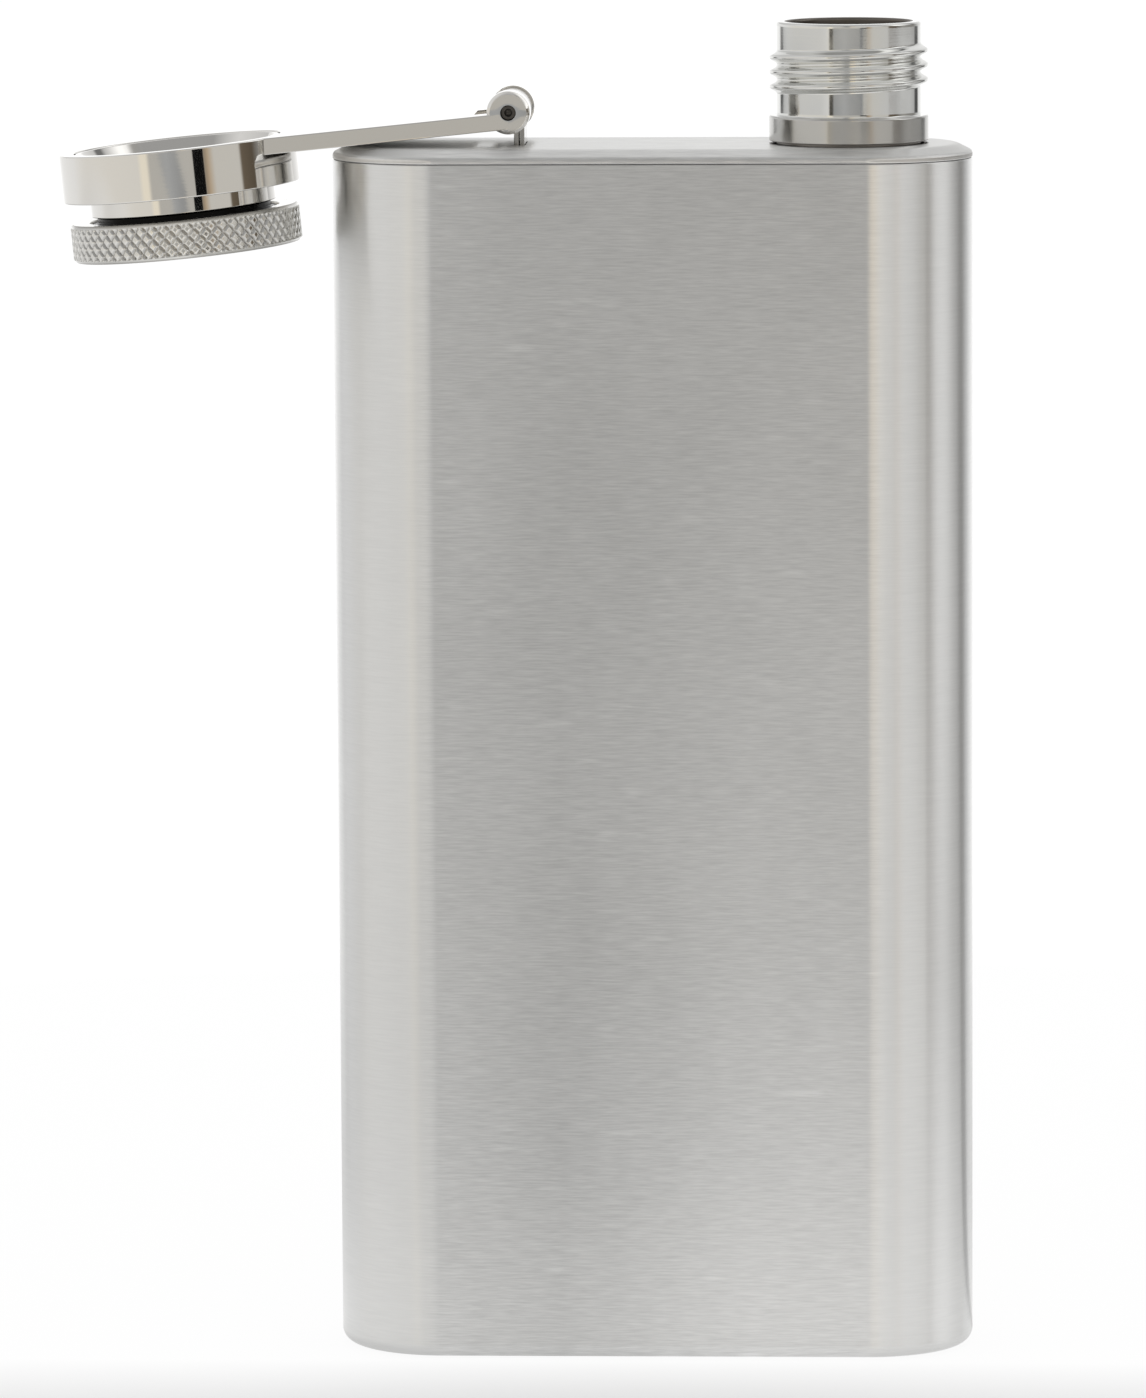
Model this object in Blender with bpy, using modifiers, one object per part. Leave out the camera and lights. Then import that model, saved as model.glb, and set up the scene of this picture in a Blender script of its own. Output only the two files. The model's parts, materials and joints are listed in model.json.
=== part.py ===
"""Hip flask with a captive screw cap, shown with the cap swung open.

Units are metres, +Z is up, and the origin is the centre of the underside. The flask stands on its base.
Its wide flat front faces -Y, the neck is on the right (+X) and the open cap hangs off the left (-X).
"""
import math

import bmesh
import bpy

MM = 0.001

# Driving dimensions, metres
BODY_WIDTH = 70.0 * MM          # along X, over the rounded ends
BODY_DEPTH = 23.0 * MM          # along Y; the ends are half circles of this diameter
BODY_HEIGHT = 133.0 * MM        # from the base to the top plate
EDGE_RADIUS = 1.5 * MM          # rounding of the top and bottom rims
SHEET = 0.7 * MM                # thickness of the body's sheet steel
GAP = 0.3 * MM                  # clearance left between neighbouring pieces
SEAM_DROP = 1.6 * MM            # from the top plate down to the seam under its rounded rim
SKIRT_DROP = 4.2 * MM           # reach of the top plate's inner locating skirt
SKIRT_THICKNESS = 0.5 * MM
BASE_LIP = 1.6 * MM             # flat turned-in lip around the base plate

NECK_X = 21.5 * MM
NECK_HEIGHT = 13.3 * MM
NECK_FLANGE_RADIUS = 8.7 * MM
NECK_FLANGE_HEIGHT = 3.1 * MM
NECK_RADIUS = 7.9 * MM
NECK_BORE_RADIUS = 6.8 * MM
NECK_SPIGOT_LENGTH = 3.2 * MM   # from the top plate's outer face down into the flask
THREAD_RADIUS = 8.7 * MM
THREAD_PITCH = 1.6 * MM
THREAD_LOW = 5.93 * MM          # start of the lowest crest above the top plate
THREAD_START = math.radians(122)  # where the thread starts round the neck, from +X
THREAD_TURNS = 2.8
RING_RADIUS = 10.0 * MM
RING_THICKNESS = 1.2 * MM

HINGE_X = -15.4 * MM
HINGE_RISE = 3.75 * MM          # hinge axis above the top plate
OPEN_TILT = math.radians(5.6)   # how far the open arm droops below level
KNUCKLE_RADIUS = 2.35 * MM
KNUCKLE_HALF_WIDTH = 6.8 * MM
KNUCKLE_CHAMFER = 0.33 * MM
SLOT_HALF_WIDTH = 3.6 * MM
SLOT_REACH = 3.9 * MM           # from the hinge axis along the arm
PIN_RADIUS = 0.8 * MM
PIN_BORE_RADIUS = 0.42 * MM     # blind hole drilled in each end of the pin
PIN_BORE_DEPTH = 1.5 * MM
PIN_RECESS = 0.35 * MM
PIN_CLEARANCE = 0.1 * MM
EYE_RADIUS = 2.15 * MM
TAB_THICKNESS = 1.15 * MM
TAB_HALF_WIDTH = 3.0 * MM
TAB_OFFSET = 1.0 * MM           # the tab leaves the eye on the side away from the open arm
BACKING_SIZE = (9.0 * MM, 12.0 * MM, 1.6 * MM)

ARM_LENGTH = NECK_X - HINGE_X   # hinge axis to the cap's axis, so the closed cap sits on the neck
ARM_THICKNESS = 1.8 * MM
ARM_HALF_AT_COLLAR = 8.0 * MM
ARM_HALF_AT_HINGE = 6.4 * MM
COLLAR_RADIUS = 13.0 * MM
COLLAR_HEIGHT = 5.3 * MM
COLLAR_BORE = 10.4 * MM
COUNTERBORE_RADIUS = 11.4 * MM
COUNTERBORE_DEPTH = 1.95 * MM
ARM_EDGE = 0.15 * MM            # broken edge of the collar

SLEEVE_RADIUS = 10.15 * MM
SLEEVE_FLANGE = 11.1 * MM
RELIEF_DEPTH = 0.6 * MM         # groove round the sleeve just over the knob, as deep as it is high
KNOB_RADIUS = 12.6 * MM
KNOB_LOW = 7.7 * MM             # depths below the cap's mouth plane
KNOB_TOP = 11.9 * MM
SLEEVE_END = 10.6 * MM
KNOB_FLOOR = 10.9 * MM
GASKET_DEPTH = 9.7 * MM
GASKET_RADIUS = 8.6 * MM
CAP_BORE = 9.0 * MM
# The cap's mouth as (radius, depth), from its thread out: it clears the neck while the cap swings
CAP_MOUTH = ((9.0 * MM, 7.3 * MM), (9.2 * MM, 5.0 * MM), (9.4 * MM, 2.5 * MM), (10.85 * MM, 0.1 * MM))
CAP_THREAD_RADIUS = 8.5 * MM
CAP_THREAD_DEPTH = 8.4 * MM     # middle of the cap's single turn of thread

ROUND_STEPS = 64
END_STEPS = 20                  # facets on each half-round end of the body
OVERLAP = 0.2 * MM              # how far shapes run into each other before a union, or past a cut


# ---------------------------------------------------------------- scene, materials, objects

def clear_scene():
    for obj in list(bpy.data.objects):
        bpy.data.objects.remove(obj, do_unlink=True)


def collection(name):
    group = bpy.data.collections.new(name)
    bpy.context.scene.collection.children.link(group)
    return group


def material(name, colour, roughness, metallic):
    mat = bpy.data.materials.new(name)
    mat.use_nodes = True
    shader = mat.node_tree.nodes["Principled BSDF"]
    shader.inputs["Base Color"].default_value = (*colour, 1.0)
    shader.inputs["Roughness"].default_value = roughness
    shader.inputs["Metallic"].default_value = metallic
    return mat


def add_object(name, mesh, group, mat=None, parent=None):
    obj = bpy.data.objects.new(name, mesh)
    group.objects.link(obj)
    if mat:
        mesh.materials.append(mat)
    obj.parent = parent
    return obj


def add_pivot(name, location, tilt, group, parent=None):
    pivot = bpy.data.objects.new(name, None)
    pivot.empty_display_size = 5 * MM
    pivot.location = location
    pivot.rotation_euler = (0.0, tilt, 0.0)
    pivot.parent = parent
    group.objects.link(pivot)
    return pivot


def mesh_from(name, bm):
    bmesh.ops.recalc_face_normals(bm, faces=bm.faces)
    mesh = bpy.data.meshes.new(name)
    bm.to_mesh(mesh)
    bm.free()
    return mesh


def smooth(obj, angle=math.radians(30)):
    obj.data.shade_smooth()
    obj.data.set_sharp_from_angle(angle=angle)


def boolean(obj, tool, operation):
    mod = obj.modifiers.new(operation.lower(), "BOOLEAN")
    mod.operation = operation
    mod.solver = "EXACT"
    mod.object = tool
    tool.hide_render = True
    tool.display_type = "WIRE"


# ---------------------------------------------------------------- shapes

def turned(name, profile, group, mat=None, parent=None, steps=ROUND_STEPS):
    """A turned solid: a closed (radius, z) profile, running down its outer side, swept about Z."""
    bm = bmesh.new()
    points = [bm.verts.new((radius, 0.0, z)) for radius, z in profile]
    for first, second in zip(points, points[1:] + points[:1]):
        if not (first.co.x < 1e-9 and second.co.x < 1e-9):
            bm.edges.new((first, second))
    mesh = bpy.data.meshes.new(name)
    bm.to_mesh(mesh)
    bm.free()
    obj = add_object(name, mesh, group, mat, parent)
    screw = obj.modifiers.new("turn", "SCREW")
    screw.axis = "Z"
    screw.steps = screw.render_steps = steps
    screw.use_merge_vertices = True
    screw.merge_threshold = 1e-6
    screw.use_smooth_shade = True
    return obj


def oval_outline(inset):
    """The body's outline seen from above, drawn in by inset: two straight sides and two half circles."""
    radius = BODY_DEPTH / 2 - inset
    centre = (BODY_WIDTH - BODY_DEPTH) / 2
    points = []
    for side in (1, -1):
        for step in range(END_STEPS + 1):
            angle = math.pi * (step / END_STEPS - 0.5)
            points.append((side * (centre + radius * math.cos(angle)), side * radius * math.sin(angle)))
    return points


def prism(outline, low, high):
    """A bmesh prism on a plan outline, and its top and bottom faces."""
    bm = bmesh.new()
    bottom = bm.faces.new([bm.verts.new((x, y, low)) for x, y in outline])
    raised = bmesh.ops.extrude_face_region(bm, geom=[bottom])["geom"]
    bmesh.ops.translate(bm, vec=(0, 0, high - low), verts=[v for v in raised if isinstance(v, bmesh.types.BMVert)])
    top = next(f for f in raised if isinstance(f, bmesh.types.BMFace))
    bm.faces.ensure_lookup_table()
    return bm, top, bottom


def prism_object(name, outline, low, high, group, mat=None, parent=None):
    bm, _, _ = prism(outline, low, high)
    return add_object(name, mesh_from(name, bm), group, mat, parent)


def box_object(name, low, high, group, parent=None):
    outline = [(low[0], low[1]), (high[0], low[1]), (high[0], high[1]), (low[0], high[1])]
    return prism_object(name, outline, low[2], high[2], group, parent=parent)


def oval_shell(name, low, high, rounded_top, lip, group, mat):
    """An open oval shell with one rounded rim and a flat turned-in lip, or closed by its flat face."""
    bm, top, bottom = prism(oval_outline(0.0), low, high)
    closed, opened = (top, bottom) if rounded_top else (bottom, top)
    rim = list(closed.edges)
    bmesh.ops.delete(bm, geom=[opened], context="FACES_ONLY")
    bmesh.ops.bevel(bm, geom=rim, offset=EDGE_RADIUS, segments=5, profile=0.5, affect="EDGES")
    if lip:
        flat = max(bm.faces, key=lambda f: len(f.verts))
        bmesh.ops.inset_region(bm, faces=[flat], thickness=lip)
        bmesh.ops.delete(bm, geom=[flat], context="FACES_ONLY")
    obj = add_object(name, mesh_from(name, bm), group, mat)
    wall = obj.modifiers.new("sheet", "SOLIDIFY")
    wall.thickness = SHEET
    wall.offset = -1.0
    wall.use_even_offset = True
    return obj


def helical_ridge(name, root, crest, start_z, turns, group, parent=None, steps=36):
    """A thread ridge: a flat-topped section carried along a helix, faded out at both ends."""
    base_half, crest_half = 0.34 * THREAD_PITCH, 0.12 * THREAD_PITCH
    fade = 0.12
    count = int(turns * steps)
    bm = bmesh.new()
    rings = []
    for step in range(count + 1):
        turn = step / steps
        height = min(1.0, turn / fade + 0.05, (turns - turn) / fade + 0.05)
        angle = 2 * math.pi * turn
        middle = start_z + THREAD_PITCH * turn
        tip = root + (crest - root) * height
        foot = root - math.copysign(OVERLAP, crest - root)
        section = ((foot, -base_half), (root, -base_half), (tip, -crest_half),
                   (tip, crest_half), (root, base_half), (foot, base_half))
        rings.append([bm.verts.new((r * math.cos(angle), r * math.sin(angle), middle + dz)) for r, dz in section])
    for lower, upper in zip(rings, rings[1:]):
        for i in range(6):
            bm.faces.new((lower[i], lower[(i + 1) % 6], upper[(i + 1) % 6], upper[i]))
    bm.faces.new(rings[0])
    bm.faces.new(list(reversed(rings[-1])))
    return add_object(name, mesh_from(name, bm), group, parent=parent)


def crosswise(obj):
    """Turn a shape made about Z so that its axis lies along Y."""
    obj.rotation_euler.x = math.pi / 2
    return obj


# ---------------------------------------------------------------- the flask

def make_body(parts, cutters, brushed):
    """The drawn body, its base plate and the top plate with the neck's hole and the hinge tab's slot."""
    shell = oval_shell("body_shell", 0.0, BODY_HEIGHT - SEAM_DROP - GAP, False, BASE_LIP, parts, brushed)
    smooth(shell)
    base_inset = EDGE_RADIUS + BASE_LIP + GAP
    smooth(prism_object("base_plate", oval_outline(base_inset), 0.0, SHEET, parts, brushed))

    plate = oval_shell("top_plate", BODY_HEIGHT - SEAM_DROP, BODY_HEIGHT, True, 0.0, parts, brushed)
    skirt_inset = SHEET + GAP
    skirt = prism_object("skirt_solid", oval_outline(skirt_inset),
                         BODY_HEIGHT - SKIRT_DROP, BODY_HEIGHT - SHEET / 2, cutters)
    hollow = prism_object("skirt_hollow", oval_outline(skirt_inset + SKIRT_THICKNESS),
                          BODY_HEIGHT - SKIRT_DROP - OVERLAP, BODY_HEIGHT - SHEET, cutters)
    boolean(skirt, hollow, "DIFFERENCE")
    boolean(plate, skirt, "UNION")
    low, high = -SKIRT_DROP, OVERLAP
    hole_radius = NECK_RADIUS + GAP
    hole = turned("neck_hole", [(0, high), (hole_radius, high), (hole_radius, low), (0, low)], cutters)
    hole.location = (NECK_X, 0.0, BODY_HEIGHT)
    boolean(plate, hole, "DIFFERENCE")
    half = (TAB_THICKNESS / 2 + GAP, TAB_HALF_WIDTH + GAP)
    slot = box_object("tab_slot", (-half[0], -half[1], low), (half[0], half[1], high), cutters)
    slot.location = (HINGE_X + TAB_OFFSET, 0.0, BODY_HEIGHT)
    boolean(plate, slot, "DIFFERENCE")
    smooth(plate)


def make_neck(parts, cutters, steel):
    """The turned neck with its male thread, and the ring that holds its spigot under the top plate."""
    seat = GAP
    step = 0.25 * MM
    profile = [
        (NECK_BORE_RADIUS + step, NECK_HEIGHT), (NECK_RADIUS - step, NECK_HEIGHT),
        (NECK_RADIUS, NECK_HEIGHT - step), (NECK_RADIUS, NECK_FLANGE_HEIGHT),
        (NECK_FLANGE_RADIUS - step, NECK_FLANGE_HEIGHT), (NECK_FLANGE_RADIUS, NECK_FLANGE_HEIGHT - step),
        (NECK_FLANGE_RADIUS, seat), (NECK_RADIUS, seat),
        (NECK_RADIUS, -NECK_SPIGOT_LENGTH), (NECK_BORE_RADIUS, -NECK_SPIGOT_LENGTH),
        (NECK_BORE_RADIUS, NECK_HEIGHT - step),
    ]
    neck = turned("neck", profile, parts, steel)
    neck.location = (NECK_X, 0.0, BODY_HEIGHT)
    ridge = helical_ridge("neck_thread", NECK_RADIUS, THREAD_RADIUS, THREAD_LOW, THREAD_TURNS, cutters)
    ridge.location = neck.location
    ridge.rotation_euler.z = THREAD_START
    boolean(neck, ridge, "UNION")
    smooth(neck)

    top = -SHEET - GAP
    bottom = top - RING_THICKNESS
    inner = NECK_RADIUS + GAP
    ring = turned("neck_ring", [(inner, top), (RING_RADIUS, top), (RING_RADIUS, bottom), (inner, bottom)],
                  parts, steel)
    ring.location = neck.location
    smooth(ring)


def make_hinge_post(parts, cutters, steel):
    """The fixed eye on its tab, and the backing block that the tab is brazed into inside the flask."""
    tab_bottom = -HINGE_RISE - SHEET - GAP - BACKING_SIZE[2] / 2
    post = box_object("hinge_post", (TAB_OFFSET - TAB_THICKNESS / 2, -TAB_HALF_WIDTH, tab_bottom),
                      (TAB_OFFSET + TAB_THICKNESS / 2, TAB_HALF_WIDTH, -EYE_RADIUS / 2), parts)
    post.data.materials.append(steel)
    half = SLOT_HALF_WIDTH - GAP
    eye = crosswise(turned("eye_barrel", [(0, half), (EYE_RADIUS, half), (EYE_RADIUS, -half), (0, -half)],
                           cutters, steps=40))
    bore_radius = PIN_RADIUS + PIN_CLEARANCE
    reach = half + OVERLAP
    bore = crosswise(turned("eye_bore", [(0, reach), (bore_radius, reach), (bore_radius, -reach), (0, -reach)],
                            cutters, steps=28))
    for piece in (post, eye, bore):
        piece.location = (HINGE_X, 0.0, BODY_HEIGHT + HINGE_RISE)
    boolean(post, eye, "UNION")
    boolean(post, bore, "DIFFERENCE")
    smooth(post)

    half_x, half_y, thick = BACKING_SIZE[0] / 2, BACKING_SIZE[1] / 2, BACKING_SIZE[2]
    top = BODY_HEIGHT - SHEET - GAP
    backing = box_object("hinge_backing", (-half_x, -half_y, top - thick), (half_x, half_y, top), parts)
    backing.location.x = HINGE_X + TAB_OFFSET
    backing.data.materials.append(steel)
    pocket = (TAB_THICKNESS / 2 + GAP, TAB_HALF_WIDTH + GAP)
    pocket_cut = box_object("tab_pocket", (-pocket[0], -pocket[1], top - thick / 2 - GAP),
                            (pocket[0], pocket[1], top + OVERLAP), cutters)
    pocket_cut.location.x = backing.location.x
    boolean(backing, pocket_cut, "DIFFERENCE")


# ---------------------------------------------------------------- the swinging arm and the cap

def arm_outline():
    """Plan of the arm's flat blade, from the hinge axis into the collar, tapering towards the hinge."""
    tip = -ARM_LENGTH + COLLAR_BORE + OVERLAP * 2
    return [(0.0, -ARM_HALF_AT_HINGE), (0.0, ARM_HALF_AT_HINGE),
            (tip, ARM_HALF_AT_COLLAR), (tip, -ARM_HALF_AT_COLLAR)]


def make_arm(parts, cutters, polished, pivot):
    """One machined piece: collar, tapering blade and two knuckles that straddle the fixed eye."""
    collar_profile = [
        (COLLAR_BORE, 0.0), (COLLAR_RADIUS - ARM_EDGE, 0.0), (COLLAR_RADIUS, -ARM_EDGE),
        (COLLAR_RADIUS, -COLLAR_HEIGHT + ARM_EDGE), (COLLAR_RADIUS - ARM_EDGE, -COLLAR_HEIGHT),
        (COLLAR_BORE, -COLLAR_HEIGHT),
    ]
    arm = turned("cap_arm", collar_profile, parts, polished, pivot, steps=72)
    arm.location.x = -ARM_LENGTH
    blade = prism_object("blade", arm_outline(), -ARM_THICKNESS, 0.0, cutters, parent=pivot)
    half, inner = KNUCKLE_HALF_WIDTH, KNUCKLE_HALF_WIDTH - KNUCKLE_CHAMFER
    face = KNUCKLE_RADIUS - KNUCKLE_CHAMFER
    knuckles = crosswise(turned("knuckles", [(0, half), (face, half), (KNUCKLE_RADIUS, inner),
                                             (KNUCKLE_RADIUS, -inner), (face, -half), (0, -half)],
                                cutters, parent=pivot, steps=48))
    slot = box_object("eye_slot", (-SLOT_REACH, -SLOT_HALF_WIDTH, -2 * KNUCKLE_RADIUS),
                      (2 * KNUCKLE_RADIUS, SLOT_HALF_WIDTH, 2 * KNUCKLE_RADIUS), cutters, parent=pivot)
    bore_radius = PIN_RADIUS + PIN_CLEARANCE
    reach = half + OVERLAP
    bore = crosswise(turned("knuckle_bore", [(0, reach), (bore_radius, reach), (bore_radius, -reach),
                                             (0, -reach)], cutters, parent=pivot, steps=28))
    low = -COUNTERBORE_DEPTH
    seat = turned("counterbore", [(0, OVERLAP), (COUNTERBORE_RADIUS, OVERLAP), (COUNTERBORE_RADIUS, low),
                                  (0, low)], cutters, parent=pivot, steps=72)
    seat.location.x = -ARM_LENGTH
    for tool in (blade, knuckles):
        boolean(arm, tool, "UNION")
    for tool in (slot, bore, seat):
        boolean(arm, tool, "DIFFERENCE")
    smooth(arm)

    length = KNUCKLE_HALF_WIDTH - PIN_RECESS
    solid = length - PIN_BORE_DEPTH
    pin = crosswise(turned("hinge_pin", [(0, solid), (PIN_BORE_RADIUS, solid), (PIN_BORE_RADIUS, length),
                                         (PIN_RADIUS, length), (PIN_RADIUS, -length),
                                         (PIN_BORE_RADIUS, -length), (PIN_BORE_RADIUS, -solid), (0, -solid)],
                           parts, polished, pivot, steps=28))
    smooth(pin)


def make_cap(parts, cutters, polished, knurled, rubber, pivot):
    """The screw cap: threaded sleeve captive in the collar, knurled knob and gasket, hanging mouth up."""
    edge = 0.1 * MM
    flange_low = COUNTERBORE_DEPTH - GAP
    relief_radius, relief_high = SLEEVE_RADIUS - RELIEF_DEPTH, KNOB_LOW - RELIEF_DEPTH
    sleeve_profile = [
        (SLEEVE_FLANGE, -edge), (SLEEVE_FLANGE, -flange_low),
        (SLEEVE_RADIUS, -flange_low), (SLEEVE_RADIUS, -relief_high), (relief_radius, -relief_high - edge),
        (relief_radius, -KNOB_LOW), (SLEEVE_RADIUS, -KNOB_LOW - GAP), (SLEEVE_RADIUS, -SLEEVE_END),
        (CAP_BORE, -SLEEVE_END), *((radius, -depth) for radius, depth in CAP_MOUTH),
    ]
    sleeve = turned("cap_sleeve", sleeve_profile, parts, polished, pivot)
    start = -CAP_THREAD_DEPTH - THREAD_PITCH * 0.45
    ridge = helical_ridge("cap_thread", CAP_BORE, CAP_THREAD_RADIUS, start, 0.9, cutters, parent=pivot)
    boolean(sleeve, ridge, "UNION")
    smooth(sleeve)

    chamfer = 0.4 * MM
    socket = SLEEVE_RADIUS + GAP
    knob_profile = [
        (socket, -KNOB_LOW), (KNOB_RADIUS - chamfer, -KNOB_LOW), (KNOB_RADIUS, -KNOB_LOW - chamfer),
        (KNOB_RADIUS, -KNOB_TOP + chamfer), (KNOB_RADIUS - chamfer, -KNOB_TOP), (0, -KNOB_TOP),
        (0, -KNOB_FLOOR), (socket, -KNOB_FLOOR),
    ]
    smooth(turned("cap_knob", knob_profile, parts, knurled, pivot))
    smooth(turned("cap_gasket", [(0, -GASKET_DEPTH), (GASKET_RADIUS, -GASKET_DEPTH),
                                 (GASKET_RADIUS, -SLEEVE_END), (0, -SLEEVE_END)],
                  parts, rubber, pivot, steps=48))


def main():
    clear_scene()
    parts = collection("hip_flask")
    cutters = collection("cutters")
    brushed = material("brushed_steel", (0.60, 0.60, 0.59), 0.38, 1.0)
    steel = material("turned_steel", (0.68, 0.67, 0.65), 0.18, 1.0)
    polished = material("polished_nickel", (0.80, 0.78, 0.74), 0.08, 1.0)
    knurled = material("knurled_nickel", (0.72, 0.71, 0.68), 0.25, 1.0)
    rubber = material("gasket_rubber", (0.82, 0.82, 0.80), 0.60, 0.0)

    make_body(parts, cutters, brushed)
    make_neck(parts, cutters, steel)
    make_hinge_post(parts, cutters, steel)
    lid_pivot = add_pivot("lid_pivot", (HINGE_X, 0.0, BODY_HEIGHT + HINGE_RISE), -OPEN_TILT, parts)
    cap_pivot = add_pivot("cap_pivot", (-ARM_LENGTH, 0.0, 0.0), 0.0, parts, lid_pivot)
    make_arm(parts, cutters, polished, lid_pivot)
    make_cap(parts, cutters, polished, knurled, rubber, cap_pivot)


main()
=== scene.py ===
"""The looks of a brushed steel hip flask with a captive screw cap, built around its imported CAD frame.

Lengths are metres, +Z is up, and the flask's front faces -Y. Every place comes from the CAD boxes and joints.
"""
import json
import math

import bmesh
import bpy
from mathutils import Matrix, Vector


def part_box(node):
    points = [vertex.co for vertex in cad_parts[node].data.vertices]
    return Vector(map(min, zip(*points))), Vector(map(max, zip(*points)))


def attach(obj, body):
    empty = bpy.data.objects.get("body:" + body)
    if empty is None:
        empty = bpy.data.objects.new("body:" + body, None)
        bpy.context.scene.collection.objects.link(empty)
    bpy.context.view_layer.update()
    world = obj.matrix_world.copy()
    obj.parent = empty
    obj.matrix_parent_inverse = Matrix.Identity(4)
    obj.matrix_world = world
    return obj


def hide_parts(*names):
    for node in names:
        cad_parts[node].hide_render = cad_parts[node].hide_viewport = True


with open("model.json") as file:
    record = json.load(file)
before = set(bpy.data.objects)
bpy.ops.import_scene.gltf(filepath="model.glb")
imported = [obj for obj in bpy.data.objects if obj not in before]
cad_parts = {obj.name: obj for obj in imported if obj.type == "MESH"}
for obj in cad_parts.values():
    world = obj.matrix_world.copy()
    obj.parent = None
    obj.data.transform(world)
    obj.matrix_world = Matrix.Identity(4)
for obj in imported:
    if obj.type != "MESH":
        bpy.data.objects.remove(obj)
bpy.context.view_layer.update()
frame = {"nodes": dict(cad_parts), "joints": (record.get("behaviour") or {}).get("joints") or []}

MM = 0.001

# Places read from the frame
SHELL_LOW, SHELL_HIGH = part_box("body_shell")
WIDTH = SHELL_HIGH.x - SHELL_LOW.x
DEPTH = SHELL_HIGH.y - SHELL_LOW.y
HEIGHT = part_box("top_plate")[1].z
NECK_LOW, NECK_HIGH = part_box("neck")
NECK_X = (NECK_LOW.x + NECK_HIGH.x) / 2
NECK_TOP = NECK_HIGH.z - HEIGHT
JOINTS = {joint["name"]: joint for joint in frame["joints"]}
HINGE = Vector(JOINTS["lid_hinge"]["pos_m"])
CAP_CENTRE = Vector(JOINTS["cap_spin"]["pos_m"])
CAP_AXIS = Vector(JOINTS["cap_spin"]["axis"]).normalized()
ARM_LENGTH = (CAP_CENTRE - HINGE).length

# The lid's own frame: X along the arm away from the cap, Y across, Z out of the cap's mouth
LID_TURN = Matrix((Vector((0, 1, 0)).cross(CAP_AXIS), Vector((0, 1, 0)), CAP_AXIS)).transposed().to_4x4()
LID_FRAME = Matrix.Translation(HINGE) @ LID_TURN
CAP_FRAME = Matrix.Translation(CAP_CENTRE) @ LID_TURN
NECK_FRAME = Matrix.Translation((NECK_X, 0, HEIGHT))
ACROSS = Matrix.Rotation(math.pi / 2, 4, "X")   # lays a shape turned about Z along Y

# Sizes that the looks add to the CAD's
SHEET = 0.7 * MM
EDGE = 1.5 * MM
SEAM_DROP = 1.55 * MM
SEAM_HALF = 0.035 * MM
SKIRT_DROP = 4.2 * MM
BASE_LIP = 1.6 * MM
SOFT = 0.12 * MM         # broken edge of machined pieces
FIT = 0.3 * MM           # room between a plate and what sits behind it
TAB_OFFSET = 1.0 * MM    # the fixed eye's tab leaves it on the side away from the open arm
RELIEF = 0.02 * MM       # height of brushing, scratches and tool lines
SAME = 0.001 * MM        # two radii closer than this are one
END_STEPS = 64
FINE = 192
SHARP = math.radians(40)

# Brushing, in strokes per metre along and across it
BRUSH_ALONG, BRUSH_ACROSS = 260, 5200
FLAT_END = 24.5 * MM     # how far from the middle the flat front ends

STEEL, TURNED, NICKEL = (0.78, 0.78, 0.77), (0.76, 0.76, 0.74), (0.78, 0.765, 0.735)
# The pin's near-black colour is painted shade for its recess between the knuckles.
KNURLED, EYE, PIN_SHADE_DARK = (0.74, 0.73, 0.70), (0.42, 0.41, 0.39), (0.09, 0.085, 0.08)
# Painted shade: grey in the knurl's grooves, down the neck's bore and under its flange, and the flange's
# darker tone; black in the groove round the sleeve
SHADE_AND_DARK_TONE, SHADE = (0.16, 0.145, 0.13), (0.01, 0.01, 0.01)


# ---------------------------------------------------------------- mesh helpers

def rounded(corners, segments=4):
    """A closed outline of (a, b, radius) corners, with an arc at each corner that has a radius."""
    points = []
    for i, (a, b, radius) in enumerate(corners):
        corner = Vector((a, b))
        before = Vector(corners[i - 1][:2]) - corner
        after = Vector(corners[(i + 1) % len(corners)][:2]) - corner
        if radius <= 0:
            points.append((a, b))
            continue
        half = before.angle(after) / 2
        cut = min(radius / math.tan(half), 0.49 * before.length, 0.49 * after.length)
        radius = cut * math.tan(half)
        before.normalize()
        after.normalize()
        centre = corner + (before + after).normalized() * (radius / math.sin(half))
        start = corner + before * cut - centre
        sweep = start.angle_signed(corner + after * cut - centre)
        first = math.atan2(start.y, start.x)
        for step in range(segments + 1):
            angle = first - sweep * step / segments
            points.append((centre.x + radius * math.cos(angle), centre.y + radius * math.sin(angle)))
    return points


def new_object(name, bm, place=None):
    bmesh.ops.recalc_face_normals(bm, faces=bm.faces)
    mesh = bpy.data.meshes.new(name)
    bm.to_mesh(mesh)
    bm.free()
    if place is not None:
        mesh.transform(place)
    obj = bpy.data.objects.new(name, mesh)
    bpy.context.scene.collection.objects.link(obj)
    return obj


def bridge(bm, first, second):
    count = len(first)
    for i in range(count):
        bm.faces.new((first[i], first[(i + 1) % count], second[(i + 1) % count], second[i]))


def lathe(profile, steps=FINE, shape=None):
    """A solid turned about Z from a closed (radius, z) profile; shape(radius, z, angle) may vary a radius."""
    bm = bmesh.new()
    rings = []
    for radius, z in profile:
        if radius < 1e-7:
            rings.append([bm.verts.new((0, 0, z))])
            continue
        ring = []
        for step in range(steps):
            angle = 2 * math.pi * step / steps
            r = shape(radius, z, angle) if shape else radius
            ring.append(bm.verts.new((r * math.cos(angle), r * math.sin(angle), z)))
        rings.append(ring)
    for first, second in zip(rings, rings[1:] + rings[:1]):
        if len(first) == 1 and len(second) == 1:
            continue
        if len(first) == 1 or len(second) == 1:
            pole, ring = (first, second) if len(first) == 1 else (second, first)
            for i in range(steps):
                bm.faces.new((pole[0], ring[i], ring[(i + 1) % steps]))
        else:
            bridge(bm, first, second)
    return bm


def oval(inset, steps=END_STEPS):
    """The body's outline in plan, drawn in by inset."""
    radius = DEPTH / 2 - inset
    centre = (WIDTH - DEPTH) / 2
    points = []
    for side in (1, -1):
        for step in range(steps + 1):
            angle = math.pi * (step / steps - 0.5)
            points.append((side * (centre + radius * math.cos(angle)), side * radius * math.sin(angle)))
    return points


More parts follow.
